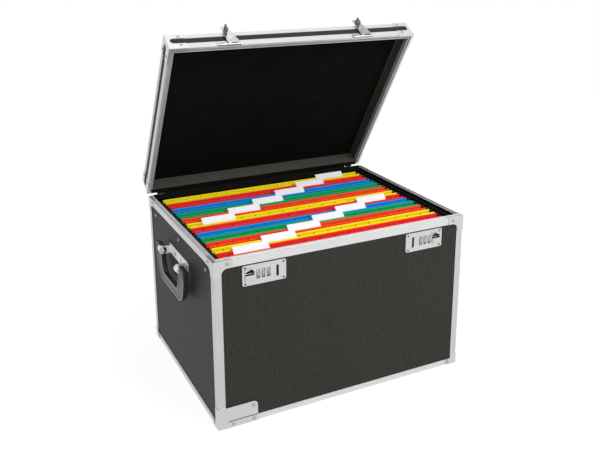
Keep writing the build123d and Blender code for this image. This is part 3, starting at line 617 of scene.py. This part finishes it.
def on_lap(face):
    """Whether a face is on the rim's inner lap, which gets the near-black finish as painted shade."""
    place = face.calc_center_median()
    return abs(place.x) < board_x - lap_width and abs(place.y) < board_y - lap_width


def on_cut_edge(face):
    """Whether a face is the narrow, square cut edge of a sheet on the case or on the lid; these edges are
    painted dark as lines of shade.
    """
    for turn in (Matrix.Identity(3), shut_turn.to_3x3()):
        if max(abs(part) for part in turn @ face.normal) > square_on:
            corners = [turn @ vert.co for vert in face.verts]
            spans = [max(c[axis] for c in corners) - min(c[axis] for c in corners) for axis in range(3)]
            return sorted(spans)[1] < sheet_limit
    return False


def on_staple(face):
    """Whether a face is on the staple of a hasp."""
    place = shut_lid @ face.calc_center_median()
    return place.y < hasp_front - 0.1 * MM and place.z > hasp_low + staple_start


def on_knuckle(face):
    """Whether a face is near the axis of the lid's hinge, where the metal is painted near-black as shade
    in the hinge gap.
    """
    place = face.calc_center_median() - hinge_place
    return math.hypot(place.y, place.z) < blackened_reach


def on_top(face):
    return face.normal.z > 0.25


for node, width, *finishes in (
    ("bottom_profiles", fold_radius, case_profile),
    ("case_rim_profiles", fold_radius, case_profile, interior_shade, on_lap),
    ("corner_profiles", fold_radius, post_metal),
    ("lid_edge_profiles", fold_radius, lid_profile),
    ("lid_rim_profiles", fold_radius, lid_profile),
    ("top_corner_caps", cap_radius, cap_metal, edge_shade_metal, on_cut_edge),
    ("bottom_corner_caps", cap_radius, cap_metal, edge_shade_metal, on_cut_edge),
    ("front_corner_plate", cap_radius, cap_metal, edge_shade_metal, on_cut_edge),
    ("lid_corner_caps", cap_radius, lid_cap_metal, edge_shade_metal, on_cut_edge),
    ("hasp_bases", fold_radius, hasp_metal),
    ("hinge_case_leaf", fold_radius, hinge_metal, gap_shade_black, on_knuckle),
    ("hinge_lid_leaf", fold_radius, hinge_metal, gap_shade_black, on_knuckle),
    ("left_hasp", hasp_radius, hasp_metal, staple_metal, on_staple),
    ("right_hasp", hasp_radius, hasp_metal, staple_metal, on_staple),
    ("left_lock_case", cap_radius, lock_metal, edge_shade_metal, on_cut_edge),
    ("right_lock_case", cap_radius, lock_metal, edge_shade_metal, on_cut_edge),
):
    rounded(node, width, *finishes)
for node in ("case_rivets", "lid_rivets"):
    rounded(node, rivet_crown, rivet_metal, segments=3)
# The sliders' top faces are painted near-black: the shade of the finger recess above them.
for node in ("left_lock_slider", "right_lock_slider"):
    rounded(node, slider_radius, lock_metal, recess_shade, on_top, segments=3)
rounded("lock_screws", screw_radius, screw_metal)

# ---------------------------------------------------------------- black strip over the hinge: painted shade in the gap there
cover_wall = 0.25 * MM
cover_half = board_x - 6.3 * MM
cover_back = rim_back + 0.4 * MM
lid_rim = rim_top + 2.1 * MM
rim_front = rim_back - 8.0 * MM
board_face = rim_front + 0.7 * MM
lap_face = rim_front - 0.4 * MM
tongue_y = rim_back - 5.0 * MM
tongue_near, tongue_far = tongue_y - 0.9 * MM, tongue_y + 0.9 * MM
over_tongue = tongue_top + 0.3 * MM
over_case_caps = rim_top + 1.06 * MM
groove_near, groove_far = rim_front + 1.4 * MM, rim_front + 4.2 * MM
groove_top = lid_rim + 3.1 * MM
under_lid_rim = lid_rim - 0.3 * MM
under_lid_caps = lid_rim - 0.78 * MM


def hinge_cover(name, places, body):
    """A thin near-black strip folded over a rim at the hinge, painted shade in the gap there. On the lid,
    its leg on the wall is grey.
    """
    bm = bmesh.new()
    drawn_along_x(bm, cover_half, places)
    walled(bm, cover_wall)
    if body == "lid":
        for face in bm.faces:
            middle = face.calc_center_median()
            face.material_index = int(middle.y < rim_front + 1.0 * MM and middle.z > lid_rim + 0.2 * MM)
        bm.transform(open_lid)
    add_piece(name, bm, body, "board", gap_shade_black, wall_grey)


hinge_cover("case_hinge_cover", [
    (board_face, rim_top - 22 * MM),
    (board_face, rim_top - 5.6 * MM),
    (lap_face, rim_top - 5.0 * MM),
    (lap_face, rim_top + 0.3 * MM),
    (tongue_near, rim_top + 0.35 * MM),
    (tongue_near, over_tongue),
    (tongue_far, over_tongue),
    (tongue_far, over_case_caps),
    (cover_back, over_case_caps),
], "case")
hinge_cover("lid_hinge_cover", [
    (board_face, lid_rim + 13 * MM),
    (board_face, lid_rim + 9.2 * MM),
    (lap_face, lid_rim + 8.6 * MM),
    (lap_face, under_lid_rim),
    (groove_near, under_lid_rim),
    (groove_near, groove_top),
    (groove_far, groove_top),
    (groove_far, under_lid_caps),
    (cover_back, under_lid_caps),
], "lid")

# Black lips that carry the painted shade of the hinge gap towards the corners, under the lid's back edge
lip_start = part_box("hinge_case_leaf")[1].x + 0.3 * MM
lip_end = 197 * MM
lip_y = (board_y + 1.9 * MM, board_y + 2.5 * MM)
lip_z = (rim_top - 1.8 * MM, rim_top + 3.2 * MM)
lips = bmesh.new()
for near, far in ((-lip_end, -lip_start), (lip_start, lip_end)):
    block(lips, (near, lip_y[0], lip_z[0]), (far, lip_y[1], lip_z[1]))
lips.transform(open_lid)
add_piece("lid_back_lips", lips, "lid", "board", gap_shade_black)

# ---------------------------------------------------------------- linings: near-black sheets of painted shade inside the case and under the lid's ceiling
lining_wall = 0.3 * MM
lining_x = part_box("front_panel")[1].x - board_wall
lining_y = board_y - board_wall
lining_floor = panel_bottom + board_wall
lining_top = rim_top - 6.0 * MM
ceiling_z = rim_top + 25.7 * MM
lock_room_length = 64.6 * MM
lock_room_height = 21.6 * MM


def front_wall_of(bm):
    return [face for face in bm.faces if abs(face.calc_center_median().y + lining_y) < 0.01 * MM]


def cut_window(bm, x_from, x_to, z_from, z_to):
    """Cut a square window out of the lining's front wall."""
    for place, normal in (
        ((x_from, 0, 0), (1, 0, 0)),
        ((x_to, 0, 0), (1, 0, 0)),
        ((0, 0, z_from), (0, 0, 1)),
        ((0, 0, z_to), (0, 0, 1)),
    ):
        faces = front_wall_of(bm)
        edges = {edge for face in faces for edge in face.edges}
        verts = {vert for face in faces for vert in face.verts}
        bmesh.ops.bisect_plane(bm, geom=[*faces, *edges, *verts], plane_co=place, plane_no=normal)
    lost = []
    for face in front_wall_of(bm):
        middle = face.calc_center_median()
        if x_from < middle.x < x_to and z_from < middle.z < z_to:
            lost.append(face)
    bmesh.ops.delete(bm, geom=lost, context="FACES")


lining = bmesh.new()
block(lining, (-lining_x, -lining_y, lining_floor), (lining_x, lining_y, lining_top))
mouth = [face for face in lining.faces if face.normal.z > 0.5]
bmesh.ops.delete(lining, geom=mouth, context="FACES")
for node in ("left_lock_case", "right_lock_case"):
    low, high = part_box(node)
    middle = (low + high) / 2
    cut_window(
        lining, middle.x - lock_room_length / 2, middle.x + lock_room_length / 2,
        middle.z - lock_room_height / 2, middle.z + lock_room_height / 2,
    )
walled(lining, lining_wall)
add_piece("case_lining", lining, "case", "board", interior_shade)

ceiling = bmesh.new()
block(ceiling, (-lining_x, -lining_y, ceiling_z - 2 * lining_wall), (lining_x, lining_y, ceiling_z))
ceiling.transform(open_lid)
add_piece("lid_ceiling_lining", ceiling, "lid", "board", interior_shade)

# ---------------------------------------------------------------- hanging files
card_wall = 0.45 * MM
file_mouth = 18.5 * MM
file_fold_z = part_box("file_12")[0].z
fold_half = 0.8 * MM
fold_rise = 0.6 * MM
leaf_half = 182.5 * MM
leaf_inset = 0.9 * MM
leaf_lap = 1.5 * MM
head_bottom = file_top - head_height
head_half = 193.5 * MM
head_taper = 3.0 * MM
head_depth = 3.5 * MM
head_round = 1.6 * MM
bar_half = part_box("file_01")[1].x
tab_length = 57.0 * MM
tab_rise = 9.0 * MM
tab_round = 0.5 * MM
tab_first = 25.5 * MM
tab_step = 54.8 * MM
tabs_in_series = 6
tab_lean = math.radians(45)
tab_back = 7.6 * MM
tab_drop = 4.0 * MM
holder_wall = 0.35 * MM
label_wall = 0.3 * MM
label_inset = 0.6 * MM
label_lift = 0.36 * MM
foot_half = 4 * MM
foot_drop = 3.4 * MM


def head(bm, outer_y, inward):
    """The folded head of a leaf: card bent round the bar, its ends cut on a slant."""
    inner_y = outer_y + inward * head_depth
    verts = drawn_along_x(bm, head_half, [
        (outer_y + inward * 0.5 * MM, head_bottom),
        (outer_y, head_bottom + 4 * MM),
        (outer_y, file_top),
        (inner_y, file_top),
        (inner_y, head_bottom + 3 * MM),
        (outer_y + inward * 1.2 * MM, head_bottom + 0.3 * MM),
    ])
    for vert in verts:
        below = (file_top - vert.co.z) / head_height
        vert.co.x *= 1 - below * head_taper / head_half
    ridges = [
        edge for edge in bm.edges
        if all(abs(vert.co.z - file_top) < 0.1 * MM for vert in edge.verts)
        and span(edge, 0) > head_half
        and min(abs(edge.verts[0].co.y - outer_y), abs(edge.verts[0].co.y - inner_y)) < 0.1 * MM
    ]
    bevel(bm, ridges, head_round, 5)


def shells_of(bm):
    """The separate shells of a mesh, each as a list of vertices."""
    left, shells = set(bm.verts), []
    while left:
        shell, open_ends = [], [left.pop()]
        while open_ends:
            vert = open_ends.pop()
            shell.append(vert)
            for edge in vert.link_edges:
                other = edge.other_vert(vert)
                if other in left:
                    left.remove(other)
                    open_ends.append(other)
        shells.append(shell)
    return shells


def file_card(node, front, rear, tone):
    """The card of a file: two folded heads, and two leaves that meet in the fold."""
    bm = bmesh.new()
    head(bm, rear, -1)
    head(bm, front, 1)
    fold = (front + rear) / 2
    drawn_along_x(bm, leaf_half, [
        (front + leaf_inset, head_bottom + leaf_lap),
        (fold - fold_half, file_fold_z + fold_rise),
        (fold, file_fold_z),
        (fold + fold_half, file_fold_z + fold_rise),
        (rear - leaf_inset, head_bottom + leaf_lap),
    ])
    walled(bm, card_wall)
    dress(node, "card", bm, cards[tone])


def file_bars(node):
    """The two bars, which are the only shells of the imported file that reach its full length."""
    bm = merged_copy(node)
    short = [shell for shell in shells_of(bm) if max(vert.co.x for vert in shell) < bar_half * 0.99]
    bmesh.ops.delete(bm, geom=[vert for shell in short for vert in shell], context="VERTS")
    soften(bm, fold_radius)
    add_piece(f"{node}.bars", bm, body_of(node), "rail", bar_paint)


def file_tab(node, rear, left):
    """A clear holder, leaning back on two feet, with a white label on its face."""
    rise = tab_rise / math.cos(tab_lean)
    lean_back = Matrix.Rotation(-tab_lean, 4, "X")
    seat = Matrix.Translation((0, rear - tab_back, file_top - tab_drop)) @ lean_back
    for name, inset, wall, lift, material in (
        ("holder", 0.0, holder_wall, 0.0, tab_clear),
        ("label", label_inset, label_wall, label_lift, label_white),
    ):
        bm = bmesh.new()
        block(bm, (left + inset, 0, inset), (left + tab_length - inset, wall, rise - inset))
        bevel(bm, [edge for edge in bm.edges if span(edge, 1) > wall / 2], tab_round, 3)
        if name == "holder":
            for share in (0.2, 0.8):
                middle = left + tab_length * share
                block(bm, (middle - foot_half, 0, -foot_drop), (middle + foot_half, wall, 0.2 * MM))
        bmesh.ops.translate(bm, verts=bm.verts, vec=(0, -lift, 0))
        bm.transform(seat)
        bmesh.ops.recalc_face_normals(bm, faces=bm.faces)
        dress(node, name, bm, material, instead=False)


for number, tone in enumerate(card_order):
    node = f"file_{number + 1:02d}"
    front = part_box(node)[0].y
    rear = front + file_mouth
    steps = tabs_in_series - 1 - number % tabs_in_series
    file_card(node, front, rear, tone)
    file_bars(node)
    file_tab(node, rear, -head_half + tab_first + steps * tab_step)

# ---------------------------------------------------------------- combination dials
figure_size = 4.3 * MM
figure_rise = 0.22 * MM
figure_step = math.radians(36)
dial_round = 0.25 * MM


def figure(digit, radius):
    """A raised figure bent round a dial's rim, standing at the dial's front."""
    text = bpy.data.curves.new(f"figure_{digit}", "FONT")
    text.body = str(digit)
    text.size = figure_size
    text.align_x = "CENTER"
    text.align_y = "CENTER"
    text.resolution_u = 2
    text.extrude = figure_rise
    shape = bpy.data.objects.new("figure", text)
    mesh = bpy.data.meshes.new_from_object(shape)
    bm = bmesh.new()
    bm.from_mesh(mesh)
    bpy.data.objects.remove(shape)
    bpy.data.meshes.remove(mesh)
    bpy.data.curves.remove(text)
    bmesh.ops.remove_doubles(bm, verts=bm.verts, dist=0.001 * MM)
    for vert in bm.verts:
        x, up, out = vert.co
        turn = up / radius
        reach = radius + out
        vert.co = (x, -reach * math.cos(turn), reach * math.sin(turn))
    return bm


def dial_figures(middle, radius, shown):
    """The ten figures of a dial, with the shown one at its front."""
    figures = bmesh.new()
    for digit in range(10):
        one = figure(digit, radius)
        turn = Matrix.Rotation(figure_step * (digit - shown), 4, "X")
        one.transform(Matrix.Translation(middle) @ turn)
        holder = bpy.data.meshes.new("figure")
        one.to_mesh(holder)
        one.free()
        figures.from_mesh(holder)
        bpy.data.meshes.remove(holder)
    return figures


for side in ("left", "right"):
    for number in (1, 2, 3):
        node = f"{side}_dial_{number}"
        low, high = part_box(node)
        wheel = merged_copy(node)
        soften(wheel, dial_round)
        dress(node, "wheel", wheel, dial_grey)
        figures = dial_figures((low + high) / 2, (high.z - low.z) / 2, number * 3)
        dress(node, "figures", figures, figure_grey, instead=False)

# ---------------------------------------------------------------- shrouds of the lock sliders
shroud_wall = 0.4 * MM
shroud_gap = 0.72 * MM  # it passes over the heads of the lock's screws


def slider_shroud(side):
    """The frame that slides with the button: it leaves a pointed finger recess above it."""
    low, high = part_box("left_lock_slider")
    face_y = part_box("left_lock_case")[0].y - shroud_wall - shroud_gap
    left, right = low.x + 0.4 * MM, high.x - 0.4 * MM
    foot = low.z + 0.8 * MM
    button_top = high.z
    top = high.z + 7.8 * MM
    outline = [
        (left, foot),
        (left + 0.7 * MM, foot),
        (left + 0.7 * MM, button_top + 3.6 * MM),
        (left + 8.5 * MM, top - 0.9 * MM),
        (right - 3.2 * MM, top - 1.0 * MM),
        (right + 0.3 * MM, button_top + 3.0 * MM),
        (right + 0.3 * MM, top),
        (left, top),
    ]
    bm = bmesh.new()
    face = bm.faces.new([bm.verts.new((x, face_y, z)) for x, z in outline])
    deepened(bm, face, (0, shroud_wall, 0))
    for_end(bm, side)
    dress(f"{side}_lock_slider", "shroud", bm, lock_metal, instead=False)


# ---------------------------------------------------------------- handles
pivot = Vector(joints["left_handle_pivot"]["pos_m"])
grip_face = pivot.x - 2.0 * MM
grip_wall = 8.4 * MM
grip_round = 0.9 * MM
seam_width = 2.0 * MM
seam_rise = 1.0 * MM
seam_slope = 0.8 * MM
arm_outer = 73.0 * MM
arm_inner = 43.0 * MM
arm_top = 5.5 * MM
knuckle_radius = 5.7 * MM
knuckle_drop = 9 * MM
knuckle_round = 2.4 * MM
ear_outer = 41.2 * MM
ear_wall = 2.6 * MM
ear_radius = 6.4 * MM
sleeve_radius = knuckle_radius - 0.3 * MM
sleeve_end = 52.0 * MM
pin_head_radius = 2.4 * MM
pin_head_rise = 1.2 * MM
plate_half = 49.0 * MM
plate_half_height = 8.0 * MM
plate_wall = 1.5 * MM
plate_round = 5 * MM
bracket_round = 0.4 * MM

# Corners of the handle in front of its middle: (out from the middle, up from the pivot, rounding)
grip_outer_corners = [
    (arm_outer - 1.5 * MM, arm_top, 4.6 * MM),
    (arm_outer - 0.5 * MM, -17 * MM, 15 * MM),
    (57 * MM, -52 * MM, 17 * MM),
]
grip_inner_corners = [
    (34 * MM, -37 * MM, 7.5 * MM),
    (arm_inner, -22 * MM, 7 * MM),
    (arm_inner, arm_top, 4.6 * MM),
]


def grip_outline(bm):
    """The flat outline of the handle, with its corners rounded."""
    half = grip_outer_corners + [(-y, z, width) for y, z, width in reversed(grip_outer_corners)]
    back = [(-y, z, width) for y, z, width in reversed(grip_inner_corners)] + grip_inner_corners
    around = half + back
    verts = [bm.verts.new((grip_face, y, pivot.z + z)) for y, z, _ in around]
    bm.faces.new(verts)
    for vert, (_, _, width) in zip(verts, around):
        bevel(bm, [vert], width, 7, affect="VERTICES")
    face = bm.faces[:][0]
    face.normal_update()
    if face.normal.x > 0:
        bmesh.ops.reverse_faces(bm, faces=[face])
    return face


def handle_grip(side):
    """The moulded handle: a dished band between two raised seams, on a knuckle at each arm. The seams and
    band are lighter as painted highlight and painted light.
    """
    bm = bmesh.new()
    deepened(bm, grip_outline(bm), (grip_wall, 0, 0))
    front = min(bm.faces, key=lambda face: (round(face.calc_center_median().x, 5), -face.calc_area()))
    seams = bmesh.ops.inset_individual(bm, faces=[front], thickness=seam_width, use_even_offset=True)
    for face in seams["faces"]:
        face.material_index = 1
    bmesh.ops.inset_individual(
        bm, faces=[front], thickness=seam_slope, depth=-seam_rise, use_even_offset=True,
    )
    front.material_index = 2
    soften(bm, grip_round, segments=3, angle=35.0)
    for y_side in (-1, 1):
        near, far = sorted((y_side * sleeve_end, y_side * (arm_outer - 1.2 * MM)))
        knuckle = block(
            bm, (grip_face - 0.6 * MM, near, pivot.z - knuckle_drop),
            (pivot.x + knuckle_radius, far, pivot.z + knuckle_radius),
        )
        bevel(bm, {edge for vert in knuckle for edge in vert.link_edges}, knuckle_round, 4)
    for_end(bm, side)
    dress(f"{side}_handle", "grip", bm, handle_plastic, seam_highlight, band_lit)


def handle_bracket(side):
    """The plated bracket: a wall plate, two ears inside the arms, and a sleeve over each pin."""
    bm = bmesh.new()
    plate = block(
        bm, (-board_x - plate_wall, -plate_half, pivot.z - plate_half_height),
        (-board_x, plate_half, pivot.z + plate_half_height),
    )
    edges = {edge for vert in plate for edge in vert.link_edges}
    bevel(bm, [edge for edge in edges if span(edge, 0) > plate_wall / 2], plate_round, 6)
    for y_side in (-1, 1):
        ear_end, sleeve_to = y_side * ear_outer, y_side * sleeve_end
        near, far = sorted((y_side * (ear_outer - ear_wall), ear_end))
        block(bm, (pivot.x, near, pivot.z - ear_radius), (-board_x, far, pivot.z + ear_radius))
        turned(bm, ear_radius, near, far, pivot.x, pivot.z)
        turned(bm, sleeve_radius, ear_end, sleeve_to, pivot.x, pivot.z)
        pin_head = y_side * (ear_outer - ear_wall - pin_head_rise)
        turned(bm, pin_head_radius, pin_head, ear_end, pivot.x, pivot.z, segments=20)
    soften(bm, bracket_round, angle=40.0)
    for_end(bm, side)
    dress(f"{side}_handle_bracket", "plate", bm, bracket_metal)


for side in ("left", "right"):
    handle_grip(side)
    handle_bracket(side)
    slider_shroud(side)

# ---------------------------------------------------------------- recesses and slots: flat dark pieces of painted shade
screw_inset_x = 4.3 * MM
screw_inset_z = 3.2 * MM
screw_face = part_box("lock_screws")[0].y
driver_radius = 1.25 * MM
driver_y = (screw_face - 0.06 * MM, screw_face + 0.2 * MM)
# Flat dark discs in the lock's screw heads: painted shade of their driver recesses
recess = bmesh.new()
for side in ("left", "right"):
    low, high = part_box(f"{side}_lock_case")
    for x in (low.x + screw_inset_x, high.x - screw_inset_x):
        for z in (low.z + screw_inset_z, high.z - screw_inset_z):
            turned(recess, driver_radius, *driver_y, x, z, segments=16)
add_piece("lock_screw_recesses", recess, "case", "lock_works", recess_shade)


def dark_slot(name, low, high, width, body):
    """A dark slot on a hasp or its base, painted shade in its opening, placed as if the lid were shut."""
    bm = bmesh.new()
    block(bm, low, high)
    soften(bm, width)
    bm.transform(open_lid)
    add_piece(name, bm, body, "hasp", recess_shade)


hasp_inset = 13.6 * MM
for side in ("left", "right"):
    low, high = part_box(f"{side}_lock_case")
    slot_x = high.x - hasp_inset if side == "left" else low.x + hasp_inset
    slot_z = hasp_low + 3.6 * MM
    dark_slot(
        f"{side}_hasp_base_slot", (slot_x - 17.5 * MM, hasp_front + 1.9 * MM, slot_z),
        (slot_x - 8.5 * MM, hasp_front + 2.3 * MM, slot_z + 3.6 * MM), 0.15 * MM, body_of("hasp_bases"),
    )
    dark_slot(
        f"{side}_hasp.slot", (slot_x + 1.0 * MM, hasp_front - 0.12 * MM, slot_z),
        (slot_x + 11.5 * MM, hasp_front + 0.3 * MM, slot_z + 2.0 * MM), 0.1 * MM, body_of(f"{side}_hasp"),
    )

# ---------------------------------------------------------------- stage
floor_size = 6.0
floor_share = 0.78
floor_glow = 1.12
fill_strength = 0.64
lamp_target = (cad_low + cad_high) / 2


def floor_finish():
    """Pale floor that the camera and reflections see as white, with a soft shadow left in it."""
    finish = Finish("floor_white")
    finish.give(Base_Color=grey(0.9), Roughness=0.9, Specular_IOR_Level=0.0)
    lit = Signal(finish, finish.shader.outputs[0])
    glow = finish.node("ShaderNodeEmission", {"Color": grey(1.0), "Strength": floor_glow})
    output = finish.tree.nodes["Material Output"]
    finish.feed(output.inputs["Surface"], finish.shared(finish.seen() * floor_share, lit, glow))
    return finish.material


def studio(world):
    """Even, faintly cool light on surfaces, in front of a backdrop that is seen as plain white."""
    world.use_nodes = True
    sky = Graph(world.node_tree)
    sky.tree.nodes.remove(sky.tree.nodes["Background"])
    fill = sky.node(
        "ShaderNodeBackground", {"Color": colour(0.97, 0.985, 1.0), "Strength": fill_strength},
    )
    white = sky.node("ShaderNodeBackground", {"Color": grey(1.0), "Strength": 1.0})
    sky.feed(sky.tree.nodes["World Output"].inputs["Surface"], sky.shared(sky.seen(), fill, white))


def softbox(name, place, size, power):
    """A square lamp that faces the object."""
    lamp = bpy.data.lights.new(name, "AREA")
    lamp.size = size
    lamp.energy = power
    stand = bpy.data.objects.new(name, lamp)
    stand.location = place
    stand.rotation_mode = "QUATERNION"
    stand.rotation_quaternion = (lamp_target - Vector(place)).to_track_quat("-Z", "Y")
    bpy.context.scene.collection.objects.link(stand)


floor_mesh = bpy.data.meshes.new("floor")
floor_bm = bmesh.new()
bmesh.ops.create_grid(floor_bm, x_segments=1, y_segments=1, size=floor_size)
floor_bm.to_mesh(floor_mesh)
floor_bm.free()
floor_mesh.materials.append(floor_finish())
floor = bpy.data.objects.new("floor", floor_mesh)
bpy.context.scene.collection.objects.link(floor)

bpy.context.scene.world = bpy.data.worlds.new("studio")
studio(bpy.context.scene.world)
softbox("key_light", (0.9, -1.9, 1.8), 1.2, 35.0)
softbox("top_light", (0.1, -0.3, 2.3), 1.8, 7.0)
softbox("side_light", (-1.7, -1.3, 1.3), 1.2, 2.5)

# ---------------------------------------------------------------- camera
camera_azimuth = math.radians(-26.81)
camera_dip = math.radians(15.36)
looking = Vector((
    -math.sin(camera_azimuth) * math.cos(camera_dip),
    math.cos(camera_azimuth) * math.cos(camera_dip),
    -math.sin(camera_dip),
))
lens = bpy.data.cameras.new("camera")
lens.sensor_width = 36.0
lens.lens = 45.885
lens.shift_x = -0.0167
lens.shift_y = -0.1167
camera = bpy.data.objects.new("camera", lens)
camera.location = (-0.5349, -1.0946, 0.6885)
camera.rotation_mode = "QUATERNION"
camera.rotation_quaternion = looking.to_track_quat("-Z", "Y")
bpy.context.scene.collection.objects.link(camera)
bpy.context.scene.camera = camera
bpy.context.scene.view_settings.view_transform = "Standard"
